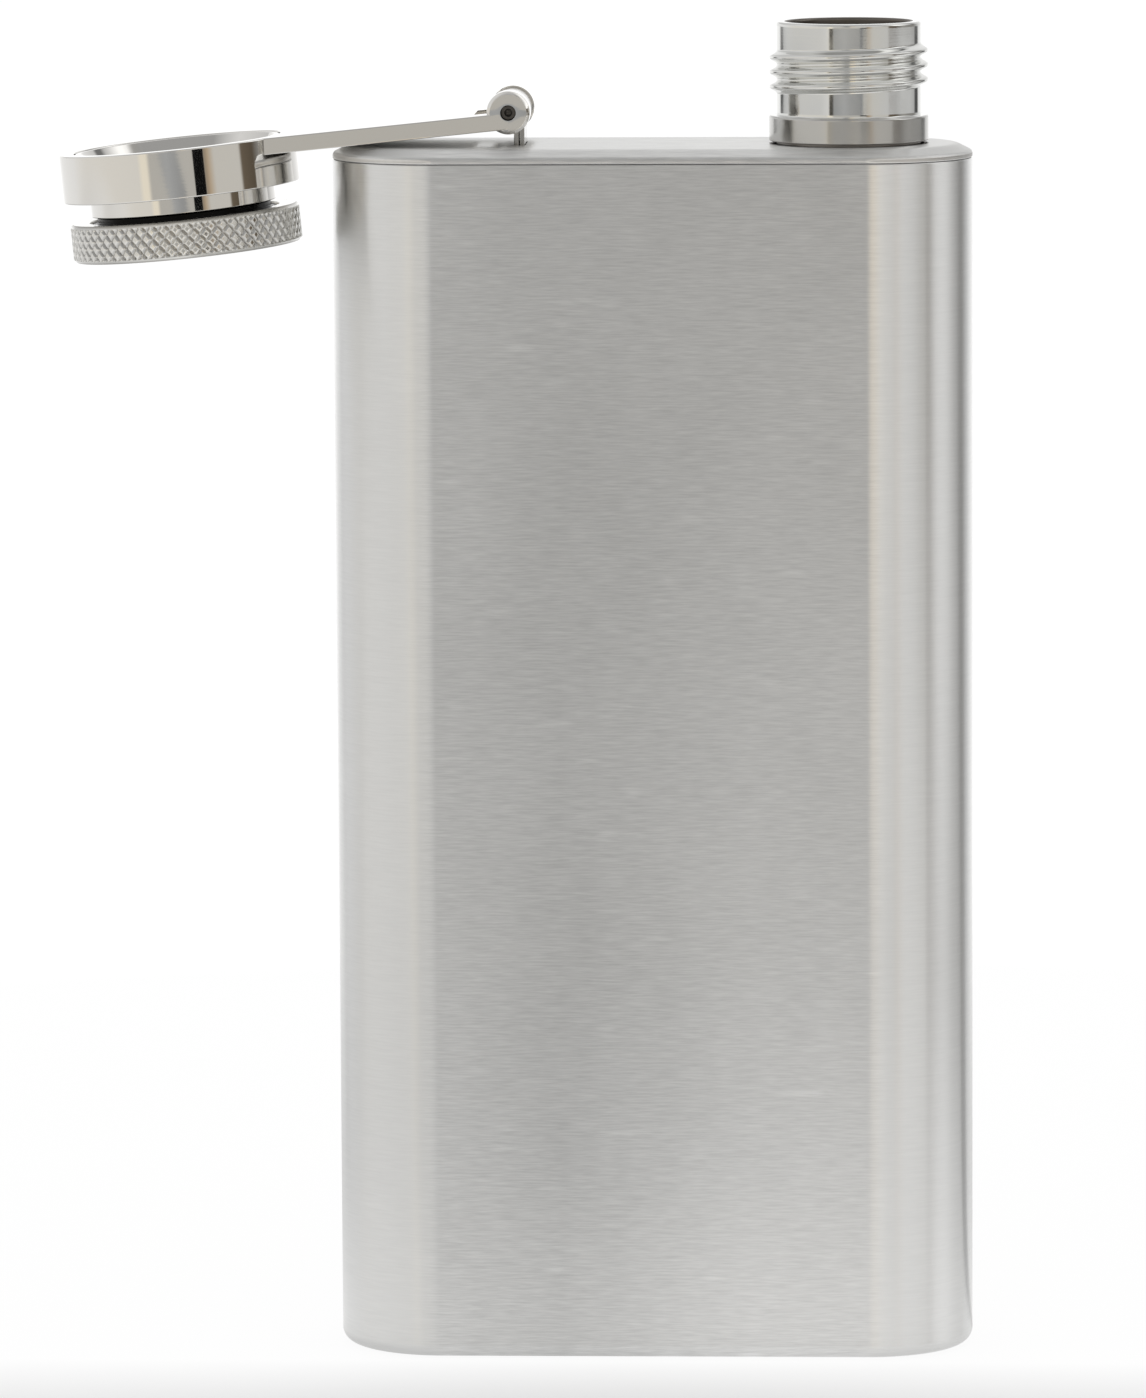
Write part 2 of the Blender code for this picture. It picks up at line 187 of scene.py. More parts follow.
def oval_sweep(profile, closed=True):
    """A solid from (inset, z) points carried round the oval; an open profile gets a flat cap at each end."""
    bm = bmesh.new()
    rings = [[bm.verts.new((x, y, z)) for x, y in oval(inset)] for inset, z in profile]
    pairs = list(zip(rings, rings[1:])) + ([(rings[-1], rings[0])] if closed else [])
    for first, second in pairs:
        bridge(bm, first, second)
    if not closed:
        bm.faces.new(rings[0])
        bm.faces.new(rings[-1])
    return bm


def prism(outline, low, high, soft=0.0):
    """An upright prism on a plan outline, with its edges broken by soft."""
    bm = bmesh.new()
    bottom = bm.faces.new([bm.verts.new((x, y, low)) for x, y in outline])
    raised = bmesh.ops.extrude_face_region(bm, geom=[bottom])["geom"]
    tops = [v for v in raised if isinstance(v, bmesh.types.BMVert)]
    bmesh.ops.translate(bm, vec=(0, 0, high - low), verts=tops)
    if soft:
        bmesh.ops.recalc_face_normals(bm, faces=bm.faces)
        edges = [e for e in bm.edges if e.calc_face_angle(0) > math.radians(25)]
        bmesh.ops.bevel(bm, geom=edges, offset=soft, segments=3, profile=0.5, affect="EDGES")
    return bm


def combine(obj, bm, operation, place=None):
    """Join a shape to obj, or cut it out, and keep only the result."""
    tool = new_object("tool", bm, place)
    mod = obj.modifiers.new(operation, "BOOLEAN")
    mod.operation = operation
    mod.solver = "EXACT"
    mod.object = tool
    evaluated = obj.evaluated_get(bpy.context.evaluated_depsgraph_get())
    mesh = bpy.data.meshes.new_from_object(evaluated)
    obj.modifiers.clear()
    old, obj.data = obj.data, mesh
    bpy.data.meshes.remove(old)
    bpy.data.objects.remove(tool, do_unlink=True)


def finish_piece(obj, body, mat, slot, *nodes):
    """Shade the piece from its largest faces, and hand it to the frame."""
    obj.data.shade_smooth()
    obj.data.set_sharp_from_angle(angle=SHARP)
    obj.modifiers.new("normals", "WEIGHTED_NORMAL").keep_sharp = True
    obj.data.materials.clear()
    obj.data.materials.append(mat)
    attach(obj, body)
    if nodes:
        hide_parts(*nodes)


# ---------------------------------------------------------------- materials

class Nodes:
    """A small helper that adds and links shader nodes."""

    def __init__(self, tree):
        self.tree = tree

    def add(self, kind, **settings):
        node = self.tree.nodes.new(kind)
        for name, value in settings.items():
            setattr(node, name, value)
        return node

    def link(self, output, target):
        self.tree.links.new(output, target)

    def math(self, operation, first, second=None, clamp=False):
        node = self.add("ShaderNodeMath", operation=operation, use_clamp=clamp)
        for socket, value in zip(node.inputs, (first, second)):
            if value is None:
                continue
            if isinstance(value, (int, float)):
                socket.default_value = value
            else:
                self.link(value, socket)
        return node.outputs[0]

    def mapped(self, value, low, high, to_low, to_high):
        node = self.add("ShaderNodeMapRange")
        self.link(value, node.inputs["Value"])
        for name, number in (("From Min", low), ("From Max", high), ("To Min", to_low), ("To Max", to_high)):
            node.inputs[name].default_value = number
        return node.outputs["Result"]

    def varied(self, value, amount):
        """Noise turned into a change of up to amount either way."""
        return self.mapped(value, 0.3, 0.7, -amount, amount)

    def noise(self, vector, scale, detail=2.0, roughness=0.5):
        """Noise on object coordinates stretched by scale, in features per metre along X, Y and Z."""
        mapping = self.add("ShaderNodeMapping")
        mapping.inputs["Scale"].default_value = scale
        self.link(vector, mapping.inputs["Vector"])
        node = self.add("ShaderNodeTexNoise")
        node.inputs["Scale"].default_value = 1.0
        node.inputs["Detail"].default_value = detail
        node.inputs["Roughness"].default_value = roughness
        self.link(mapping.outputs[0], node.inputs["Vector"])
        return node.outputs["Fac"]

    def choose_if_mirrored(self, seen, mirrored, output):
        """What the eye and rough surfaces get, and what the metal mirrors."""
        node = self.add("ShaderNodeMixShader")
        self.link(self.add("ShaderNodeLightPath").outputs["Is Glossy Ray"], node.inputs["Fac"])
        self.link(seen, node.inputs[1])
        self.link(mirrored, node.inputs[2])
        self.link(node.outputs[0], output.inputs["Surface"])

    def ramp(self, value, stops, smooth=True):
        node = self.add("ShaderNodeValToRGB")
        node.color_ramp.interpolation = "EASE" if smooth else "LINEAR"
        elements = node.color_ramp.elements
        while len(elements) > 1:
            elements.remove(elements[-1])
        for i, (position, colour) in enumerate(stops):
            element = elements[0] if i == 0 else elements.new(position)
            element.position = position
            element.color = (*colour, 1.0)
        self.link(value, node.inputs["Fac"])
        return node.outputs["Color"]


def new_material(name):
    mat = bpy.data.materials.new(name)
    mat.use_nodes = True
    nodes = Nodes(mat.node_tree)
    shader = mat.node_tree.nodes["Principled BSDF"]
    place = nodes.add("ShaderNodeTexCoord").outputs["Object"]
    return mat, nodes, shader, place


def bump(nodes, shader, height, strength, distance=RELIEF):
    node = nodes.add("ShaderNodeBump")
    node.inputs["Strength"].default_value = strength
    node.inputs["Distance"].default_value = distance
    nodes.link(height, node.inputs["Height"])
    nodes.link(node.outputs["Normal"], shader.inputs["Normal"])


def brushed_steel(name, across, tangent):
    """Steel brushed along X: short fine lines in the colour and relief, and a gloss that spreads across them.

    A painted reflection makes the tone change slowly from side to side, most near the bottom.
    """
    mat, nodes, shader, place = new_material(name)
    fine = nodes.noise(place, (BRUSH_ALONG * 1.3, *across), 2.0, 0.6)
    coarse = nodes.noise(place, (BRUSH_ALONG * 0.5, *(a * 0.3 for a in across)), 2.0, 0.55)
    cloud = nodes.noise(place, (45, 45, 30), 3.0, 0.6)
    stray = nodes.noise(place, (BRUSH_ALONG * 0.5, *(a * 0.12 for a in across)), 1.0, 0.5)
    shade = nodes.math("ADD", nodes.varied(fine, 0.09), nodes.varied(coarse, 0.025))
    shade = nodes.math("ADD", shade, nodes.varied(cloud, 0.045))
    shade = nodes.math("ADD", shade, nodes.mapped(stray, 0.69, 0.80, 0.0, 0.10))

    parts = nodes.add("ShaderNodeSeparateXYZ")
    nodes.link(place, parts.inputs[0])
    x, z = parts.outputs["X"], parts.outputs["Z"]
    flat = nodes.mapped(nodes.math("ABSOLUTE", x), FLAT_END - 1 * MM, FLAT_END + 1 * MM, 1.0, 0.25)
    # painted reflection: the tone dips left of the middle and rises to the right, weaker up the flask
    painted_reflection = nodes.math("ADD", nodes.mapped(x, -23 * MM, -10 * MM, 0.0, -0.10),
                        nodes.mapped(x, -10 * MM, 11 * MM, 0.0, 0.22))
    painted_reflection = nodes.math("MULTIPLY", painted_reflection, nodes.mapped(z, 30 * MM, 120 * MM, 1.0, 0.1))
    level = nodes.math("ADD", nodes.math("ADD", nodes.math("MULTIPLY", shade, flat), painted_reflection), 1.0)
    tint = nodes.add("ShaderNodeVectorMath", operation="SCALE")
    tint.inputs[0].default_value = STEEL
    nodes.link(level, tint.inputs["Scale"])
    nodes.link(tint.outputs[0], shader.inputs["Base Color"])

    shader.inputs["Metallic"].default_value = 1.0
    nodes.link(nodes.mapped(cloud, 0.3, 0.7, 0.28, 0.32), shader.inputs["Roughness"])
    shader.inputs["Anisotropic"].default_value = 1.0
    direction = nodes.add("ShaderNodeCombineXYZ")
    for axis, value in zip("XYZ", tangent):
        direction.inputs[axis].default_value = value
    nodes.link(direction.outputs[0], shader.inputs["Tangent"])
    bump(nodes, shader, nodes.math("MULTIPLY", nodes.math("ADD", fine, coarse), flat), 0.08)
    return mat


def bright_metal(name, colour, rough, turned=0.0, dark_place=None, dark=SHADE_AND_DARK_TONE):
    """Polished or turned metal with faint smears, fine scratches and, if turned, tool lines around its axis.

    dark_place(nodes, place) gives a factor that dulls the metal and mixes in the dark colour: painted shade
    in grooves, the neck's bore and gaps, and a darker tone on the neck's flange.
    """
    mat, nodes, shader, place = new_material(name)
    smear = nodes.noise(place, (160, 160, 160), 4.0, 0.6)
    scratch = nodes.noise(place, (900, 300, 4000), 2.0, 0.5)
    shader.inputs["Metallic"].default_value = 1.0
    gloss = nodes.mapped(smear, 0.35, 0.75, rough * 0.8, rough * 1.5)
    if dark_place:
        factor = dark_place(nodes, place)
        tint = nodes.add("ShaderNodeMix", data_type="RGBA")
        nodes.link(factor, tint.inputs["Factor"])
        tint.inputs["A"].default_value = (*colour, 1.0)
        tint.inputs["B"].default_value = (*dark, 1.0)
        nodes.link(tint.outputs["Result"], shader.inputs["Base Color"])
        gloss = nodes.math("ADD", gloss, nodes.math("MULTIPLY", factor, 0.25))
    else:
        shader.inputs["Base Color"].default_value = (*colour, 1.0)
    nodes.link(gloss, shader.inputs["Roughness"])
    height = nodes.math("MULTIPLY", scratch, 0.15)
    if turned:
        tool = nodes.noise(place, (20, 20, 5200), 2.0, 0.6)
        height = nodes.math("ADD", height, nodes.math("MULTIPLY", tool, turned))
    bump(nodes, shader, height, 0.12)
    return mat


def cap_place(nodes, place):
    """The distance from the cap's axis, and the height along it from the collar's face."""
    offset = nodes.add("ShaderNodeVectorMath", operation="SUBTRACT")
    nodes.link(place, offset.inputs[0])
    offset.inputs[1].default_value = CAP_CENTRE
    across = nodes.add("ShaderNodeVectorMath", operation="CROSS_PRODUCT")
    along = nodes.add("ShaderNodeVectorMath", operation="DOT_PRODUCT")
    away = nodes.add("ShaderNodeVectorMath", operation="LENGTH")
    for node in (across, along):
        nodes.link(offset.outputs[0], node.inputs[0])
        node.inputs[1].default_value = CAP_AXIS
    nodes.link(across.outputs[0], away.inputs[0])
    return away.outputs["Value"], along.outputs["Value"]


def knurl_groove_shade(nodes, place):
    """Painted shade in the knob's knurl: 0.55 at the bottom of its grooves, 0 at its tips and away from it.
    """
    away, _ = cap_place(nodes, place)
    bottom, tip = 12.32 * MM, 12.52 * MM
    deep = nodes.mapped(away, bottom, tip, 0.55, 0.0)
    return nodes.math("MULTIPLY", deep, nodes.math("GREATER_THAN", away, bottom - 0.05 * MM))


def sleeve_groove_shade(nodes, place):
    """1 in the groove round the sleeve just over the knob, where black shade is painted."""
    _, along = cap_place(nodes, place)
    low, high = -8.2 * MM, -7.05 * MM
    return nodes.math("MULTIPLY", nodes.math("GREATER_THAN", along, low),
                      nodes.math("LESS_THAN", along, high))


def neck_shade_and_flange_tone(nodes, place):
    """Painted shade, 1 down the neck's bore and 0.9 under its flange; 0.35 on the flange, darker and rougher
    there; 0 elsewhere.
    """
    parts = nodes.add("ShaderNodeSeparateXYZ")
    nodes.link(place, parts.inputs[0])
    x, y, z = (nodes.math("SUBTRACT", parts.outputs["X"], NECK_X), parts.outputs["Y"], parts.outputs["Z"])
    away = nodes.math("SQRT", nodes.math("ADD", nodes.math("MULTIPLY", x, x), nodes.math("MULTIPLY", y, y)))
    # painted shade down the bore
    bore = nodes.mapped(away, 7.0 * MM, 7.1 * MM, 1.0, 0.0)
    flange = nodes.math("MULTIPLY", nodes.mapped(z, HEIGHT + 3.0 * MM, HEIGHT + 3.2 * MM, 0.35, 0.0),
                        nodes.math("GREATER_THAN", away, 8.0 * MM))
    # painted shade in the gap under the flange
    seat = nodes.math("MULTIPLY", nodes.mapped(z, HEIGHT + 0.35 * MM, HEIGHT + 0.5 * MM, 0.9, 0.0),
                      nodes.math("GREATER_THAN", away, 7.5 * MM))
    return nodes.math("MAXIMUM", bore, nodes.math("MAXIMUM", flange, seat), clamp=True)


def gasket_rubber():
    mat, nodes, shader, place = new_material("gasket_rubber_look")
    speckle = nodes.noise(place, (2200, 2200, 2200), 3.0, 0.6)
    nodes.link(nodes.ramp(speckle, [(0.3, (0.66, 0.65, 0.60)), (0.7, (0.78, 0.77, 0.73))]),
               shader.inputs["Base Color"])
    shader.inputs["Roughness"].default_value = 0.55
    shader.inputs["Subsurface Weight"].default_value = 0.05
    bump(nodes, shader, speckle, 0.2, 0.03 * MM)
    return mat


# ---------------------------------------------------------------- the flask

def make_body(steel, steel_top):
    seam_low, seam_high = HEIGHT - SEAM_DROP - SEAM_HALF, HEIGHT - SEAM_DROP + SEAM_HALF
    lip = EDGE + BASE_LIP
    shell = new_object("flask_body", oval_sweep(rounded([
        (0.0, seam_low, SOFT), (0.0, 0.0, EDGE), (lip, 0.0, SOFT), (lip, SHEET, SOFT),
        (SHEET, SHEET, EDGE - SHEET), (SHEET, seam_low, 0.0)], 10)))
    finish_piece(shell, "flask", steel, "brushed_steel", "body_shell")

    inset, core = lip + 0.12 * MM, DEPTH / 2 - 2 * MM
    base = new_object("flask_base", oval_sweep(rounded([
        (core, 0.0, 0.0), (inset, 0.0, SOFT), (inset, SHEET, SOFT), (core, SHEET, 0.0)]), closed=False))
    finish_piece(base, "flask", steel_top, "brushed_steel", "base_plate")

    flat, skirt, skirt_low = EDGE + 1.0 * MM, SHEET + FIT, HEIGHT - SKIRT_DROP
    under, step = HEIGHT - SHEET, HEIGHT - SHEET - FIT
    skirt_inner = skirt + 0.5 * MM
    top = new_object("flask_top", oval_sweep(rounded([
        (flat, HEIGHT, 0.0), (1.7 * MM, HEIGHT, 2.5 * MM), (0.0, HEIGHT - 0.85 * MM, 0.7 * MM),
        (0.0, seam_high, SOFT), (SHEET, seam_high, 0.0), (SHEET, step, 0.0), (skirt, step, 0.0),
        (skirt, skirt_low, 0.0), (skirt_inner, skirt_low, 0.0), (skirt_inner, under, 0.0),
        (flat, under, 0.0)], 10), closed=False))
    hole, above, below = 8.2 * MM, 1 * MM, -6 * MM
    combine(top, lathe([(0, above), (hole, above), (hole, below), (0, below)]), "DIFFERENCE", NECK_FRAME)
    slot_x, slot_y = 0.65 * MM, 3.1 * MM
    slot = prism([(-slot_x, -slot_y), (slot_x, -slot_y), (slot_x, slot_y), (-slot_x, slot_y)], below, above)
    combine(top, slot, "DIFFERENCE", Matrix.Translation((HINGE.x + TAB_OFFSET, 0, HEIGHT)))
    finish_piece(top, "flask", steel_top, "brushed_steel", "top_plate")


def thread_shape(root, crest, pitch, low, turns, begin=0.0):
    """A radius for each place on a turned surface that carries a helical thread from low, over some turns."""
    half_width, flank, fade = 0.48, 0.42, 0.16      # in pitches, in pitches, in turns

    def radius_at(radius, z, angle):
        if abs(radius - root) > SAME:
            return radius
        tallest = 0.0
        for whole in range(-1, int(turns) + 3):
            turn = (angle - begin) / (2 * math.pi) + whole
            if not 0 <= turn <= turns:
                continue
            off = abs(z - low - pitch * turn) / pitch
            rise = min(1.0, max(0.0, (half_width - off) / flank))
            rise = rise * rise * (3 - 2 * rise)
            tallest = max(tallest, rise * min(1.0, turn / fade, (turns - turn) / fade))
        return root + (crest - root) * tallest

    return radius_at


def steps_between(radius, start, end, spacing):
    count = max(1, round(abs(end - start) / spacing))
    return [(radius, start + (end - start) * i / count) for i in range(count + 1)]


def make_neck(steel):
    root, crest, bore = 7.9 * MM, 8.7 * MM, 6.8 * MM
    flange_height, seat, pitch, spigot = 3.1 * MM, 0.3 * MM, 1.6 * MM, -3.2 * MM
    band_low, band_high = flange_height + 0.4 * MM, NECK_TOP - 0.5 * MM
    rim = rounded([(bore, NECK_TOP, 0.3 * MM), (root, NECK_TOP, 0.3 * MM),
                   (root, flange_height + 1 * MM, 0)], 6)
    thread_band = steps_between(root, band_high, band_low, 0.05 * MM)
    lower = rounded([(root, band_low, 0), (root, flange_height, 0.15 * MM),
                     (crest, flange_height, 0.25 * MM), (crest, seat, 0.12 * MM), (root, seat, 0),
                     (root, spigot, SOFT), (bore, spigot, SOFT), (bore, NECK_TOP - 1 * MM, 0)], 5)
    shape = thread_shape(root, crest, pitch, 5.93 * MM, 2.8, math.radians(122))
    neck = new_object("flask_neck", lathe(rim[:-1] + thread_band + lower[1:], 256, shape), NECK_FRAME)
    finish_piece(neck, "flask", steel, "turned_steel", "neck")


def make_hinge_post(steel):
    """The fixed eye: a barrel on a folded strip whose two layers show as a line down its edge."""
    radius, bore, half, drop = 2.15 * MM, 0.9 * MM, 3.3 * MM, HINGE.z - HEIGHT
    place = Matrix.Translation(HINGE)
    eye = rounded([(bore, half, SOFT), (radius, half, SOFT), (radius, -half, SOFT), (bore, -half, SOFT)])
    post = new_object("hinge_eye", lathe(eye, 96), place @ ACROSS)
    for side in (-1, 1):
        near, far = TAB_OFFSET + side * 0.03 * MM, TAB_OFFSET + side * 0.575 * MM
        leaf = prism([(near, -3 * MM), (far, -3 * MM), (far, 3 * MM), (near, 3 * MM)],
                     -drop - 1.7 * MM, -1.2 * MM, 0.14 * MM)
        combine(post, leaf, "UNION", place)
    finish_piece(post, "flask", steel, "turned_steel", "hinge_post")


# ---------------------------------------------------------------- the arm and the cap

def make_arm(nickel):
    """Collar, blade and knuckles as one piece."""
    radius, height, bore = 13.0 * MM, 5.3 * MM, 10.4 * MM
    seat_radius, seat_depth = 11.4 * MM, 1.95 * MM
    edge = 0.15 * MM
    collar = rounded([(seat_radius, 0, edge), (radius, 0, edge), (radius, -height, edge),
                      (bore, -height, edge), (bore, -seat_depth, SOFT), (seat_radius, -seat_depth, SOFT)], 5)
    arm = new_object("lid_arm", lathe(collar, FINE), CAP_FRAME)
    half_far, half_near, thickness, inner = 8.2 * MM, 6.8 * MM, 1.8 * MM, 12.2 * MM
    reach = math.asin(half_far / inner)
    root = [(-ARM_LENGTH + inner * math.cos(a), inner * math.sin(a))
            for a in (reach * (1 - i / 8) for i in range(17))]
    blade = prism([(0, -half_near), (0, half_near)] + root, -thickness, 0)
    for vert in blade.verts:                    # the sides lean in a little towards the top
        if vert.co.z > -thickness / 2:
            vert.co.y -= math.copysign(0.1 * MM, vert.co.y)
    edges = [e for e in blade.edges if e.calc_length() > 8 * MM]
    bmesh.ops.recalc_face_normals(blade, faces=blade.faces)
    bmesh.ops.bevel(blade, geom=edges, offset=SOFT, segments=3, profile=0.5, affect="EDGES")
    combine(arm, blade, "UNION", LID_FRAME)
    knuckle, face, half = 2.35 * MM, 2.02 * MM, 6.8 * MM
    chamfer = knuckle - face
    barrel = rounded([(0, half, 0), (face, half, 0.06 * MM), (knuckle, half - chamfer, SOFT),
                      (knuckle, -half + chamfer, SOFT), (face, -half, 0.06 * MM), (0, -half, 0)])
    combine(arm, lathe(barrel, 128), "UNION", LID_FRAME @ ACROSS)
    slot_half, slot_reach, far = 3.6 * MM, 3.9 * MM, 5 * MM
    slot = prism([(-slot_reach, -slot_half), (far, -slot_half), (far, slot_half), (-slot_reach, slot_half)],
                 -far, far)
    combine(arm, slot, "DIFFERENCE", LID_FRAME)
    pin_hole, end = 0.85 * MM, 8 * MM
    combine(arm, lathe([(0, end), (pin_hole, end), (pin_hole, -end), (0, -end)], 64), "DIFFERENCE",
            LID_FRAME @ ACROSS)
    finish_piece(arm, "arm", nickel, "polished_nickel", "cap_arm")


def make_pin(steel):
    """The hinge pin, a little below the knuckles' faces, with a blind hole drilled in each end."""
    half, radius, bore, solid = 6.2 * MM, 0.8 * MM, 0.42 * MM, 4.9 * MM
    profile = rounded([(0, solid, 0), (bore, solid + 0.2 * MM, 0), (bore, half, 0.05 * MM),
                       (radius, half, 0.1 * MM), (radius, -half, 0.1 * MM), (bore, -half, 0.05 * MM),
                       (bore, -solid - 0.2 * MM, 0), (0, -solid, 0)])
    pin = new_object("roll_pin", lathe(profile, 48), LID_FRAME @ ACROSS)
    finish_piece(pin, "arm", steel, "polished_nickel", "hinge_pin")


def make_sleeve(nickel):
    """The cap's threaded sleeve, with its flange in the collar and its end in the knob."""
    barrel, flange, bore = 10.15 * MM, 11.25 * MM, 9.0 * MM
    flange_low, relief_high, end = -1.65 * MM, -7.1 * MM, -10.6 * MM
    relief = barrel - 0.6 * MM
    outer = rounded([(9.0 * MM, -7.0 * MM, 0), (9.2 * MM, -5.0 * MM, 0.6 * MM),
                     (9.4 * MM, -2.5 * MM, 0.6 * MM), (10.75 * MM, -0.1 * MM, 0.12 * MM),
                     (flange, -0.1 * MM, SOFT), (flange, flange_low, SOFT),
                     (barrel, flange_low, SOFT), (barrel, relief_high, SOFT),
                     (relief, relief_high - 0.1 * MM, SOFT), (relief, -7.8 * MM, SOFT),
                     (barrel, -8.0 * MM, SOFT), (barrel, end, SOFT), (bore, end, 0)], 5)
    thread_band = steps_between(bore, end + 0.1 * MM, -7.3 * MM, 0.06 * MM)
    shape = thread_shape(bore, 8.5 * MM, 1.6 * MM, -9.12 * MM, 0.9)
    sleeve = new_object("cap_inner_sleeve", lathe(outer + thread_band, FINE, shape), CAP_FRAME)
    finish_piece(sleeve, "cap", nickel, "polished_nickel", "cap_sleeve")


def knurl_shape(radius, low, high):
    """Two crossing families of fine V grooves, left out close to the knob's two edges."""
    count, lean, depth, width = 60, math.tan(math.radians(40)) / radius, 0.28 * MM, 0.24

    def groove(turns):
        off = abs(turns - round(turns))
        return max(0.0, 1 - off / width)

    def radius_at(r, z, angle):
        if abs(r - radius) > SAME:
            return r
        first = groove(count * (angle + lean * z) / (2 * math.pi))
        second = groove(count * (angle - lean * z) / (2 * math.pi))
        fade = min(1.0, (high - z) / (0.15 * MM), (z - low) / (0.15 * MM))
        return r - depth * max(first, second * 0.8) * max(0.0, fade)

    return radius_at


def make_knob(nickel):
    radius, low, high = 12.6 * MM, -11.9 * MM, -7.7 * MM
    socket, floor, chamfer = 10.45 * MM, -10.9 * MM, 0.35 * MM
    side_high, side_low = high - chamfer, low + chamfer
    start = rounded([(socket, floor, 0), (socket, high, SOFT), (radius - chamfer, high, 0.1 * MM),
                     (radius, side_high, 0)], 4)
    band = steps_between(radius, side_high, side_low, 0.085 * MM)
    end = rounded([(radius, side_low, 0), (radius - chamfer, low, 0.2 * MM), (0, low, 0), (0, floor, 0)], 4)
    shape = knurl_shape(radius, side_low, side_high)
    knob = new_object("cap_knurled_knob", lathe(start[:-1] + band + end[1:], 960, shape), CAP_FRAME)
    finish_piece(knob, "cap", nickel, "knurled_nickel", "cap_knob")


def make_gasket(rubber):
    radius, high, low = 8.6 * MM, -9.7 * MM, -10.6 * MM
    profile = rounded([(0, high, 0), (radius, high, 0.15 * MM), (radius, low, 0.15 * MM), (0, low, 0)])
    gasket = new_object("cap_seal_disc", lathe(profile, 96), CAP_FRAME)
    finish_piece(gasket, "cap", rubber, "gasket_rubber", "cap_gasket")


# ---------------------------------------------------------------- studio

def make_floor():
    """A pale round floor that turns to clean white away from the flask, and glows with a painted level where
    the metal mirrors it.
    """
    bm = bmesh.new()
    bmesh.ops.create_circle(bm, cap_ends=True, radius=0.30, segments=96)
    floor = new_object("studio_floor", bm)
    floor.location.z = -0.2 * MM
    mat, nodes, paper, place = new_material("floor_paper")
    parts = nodes.add("ShaderNodeSeparateXYZ")
    nodes.link(place, parts.inputs[0])
    x, y = parts.outputs["X"], parts.outputs["Y"]

    # Seen directly: pale paper in front, white behind and far out
    paper.inputs["Base Color"].default_value = (0.79, 0.79, 0.79, 1.0)
    paper.inputs["Roughness"].default_value = 0.8
    white = nodes.add("ShaderNodeEmission")
    white.inputs["Strength"].default_value = CLEAN_LIGHT
    from_middle = nodes.add("ShaderNodeVectorMath", operation="LENGTH")
    nodes.link(place, from_middle.inputs[0])
    behind = nodes.mapped(y, -0.045, -0.012, 0.0, 0.9)
    far_out = nodes.mapped(from_middle.outputs["Value"], 0.10, 0.28, 0.0, 1.0)
    seen = nodes.add("ShaderNodeMixShader")
    nodes.link(nodes.math("MAXIMUM", behind, far_out, clamp=True), seen.inputs["Fac"])
    nodes.link(paper.outputs[0], seen.inputs[1])
    nodes.link(white.outputs[0], seen.inputs[2])

    # Mirrored in the flask the floor glows with a painted level by the distance from its core, brighter by
    # its ends, with painted shadow at its foot
    core = 0.024
    beyond = nodes.math("MAXIMUM", nodes.math("SUBTRACT", nodes.math("ABSOLUTE", x), core), 0.0)
    away = nodes.math("SQRT", nodes.math("ADD", nodes.math("MULTIPLY", beyond, beyond),
                                         nodes.math("MULTIPLY", y, y)))
    beside = nodes.math("MULTIPLY", nodes.mapped(beyond, 0.004, 0.02, 0.0, 1.0),
                        nodes.mapped(away, 0.04, 0.20, 0.0, 0.31))
    beside = nodes.math("MULTIPLY", beside, nodes.mapped(y, 0.0, 0.03, 1.0, 0.45))
    level = nodes.math("ADD", nodes.mapped(away, 0.025, 0.12, 0.95, 0.57), beside)
    # painted shadow: the mirrored floor dims to 0.78 at the flask's side
    level = nodes.math("MULTIPLY", level, nodes.mapped(away, DEPTH / 2, DEPTH / 2 + 8 * MM, 0.78, 1.0))

    # A painted dark line runs out behind the right end, seen only in the metal
    turn = nodes.math("ARCTAN2", nodes.math("SUBTRACT", x, core), nodes.math("MULTIPLY", y, -1.0))
    off_line = nodes.math("ABSOLUTE", nodes.math("SUBTRACT", turn, math.radians(129.5)))
    line = nodes.math("MULTIPLY", nodes.math("LESS_THAN", off_line, math.radians(6.5)), 0.50)
    mirrored = nodes.add("ShaderNodeEmission")
    nodes.link(nodes.math("MULTIPLY", level, nodes.math("SUBTRACT", 1.0, line)), mirrored.inputs["Strength"])

    nodes.choose_if_mirrored(seen.outputs[0], mirrored.outputs[0], mat.node_tree.nodes["Material Output"])
    floor.data.materials.append(mat)


# The studio's wall as (degrees round from the front, towards +X; brightness; colour), at three heights
WHITE, WARM, CREAM = (1, 1, 1), (1, 0.97, 0.91), (1, 0.86, 0.66)
STRAW, TAN, COOL = (1, 0.93, 0.79), (1, 0.80, 0.58), (0.96, 0.98, 1.0)
WIDE_WALL = (
    (-180, 1.0, WHITE), (-165, 0.88, WHITE), (-152, 0.62, WHITE), (-140, 0.64, WHITE), (-105, 0.76, WHITE),
    (-60, 0.92, WHITE), (-18, 1.08, WARM), (-12, 1.04, WARM), (-7, 0.62, WHITE), (-4, 0.31, WHITE),
    (-2, 0.28, WHITE), (2.2, 0.40, WHITE), (3.6, 1.20, CREAM), (9, 1.34, CREAM), (14, 1.26, WARM),
    (40, 1.0, WHITE), (54, 0.78, WHITE), (64, 0.40, WARM), (74, 0.44, WARM), (84, 1.35, WHITE),
    (98, 1.30, WHITE), (112, 0.84, WHITE), (120, 0.60, WHITE), (126, 0.20, WHITE), (134, 0.20, WHITE),
    (139, 0.70, WHITE), (152, 0.80, WHITE), (180, 1.0, WHITE))
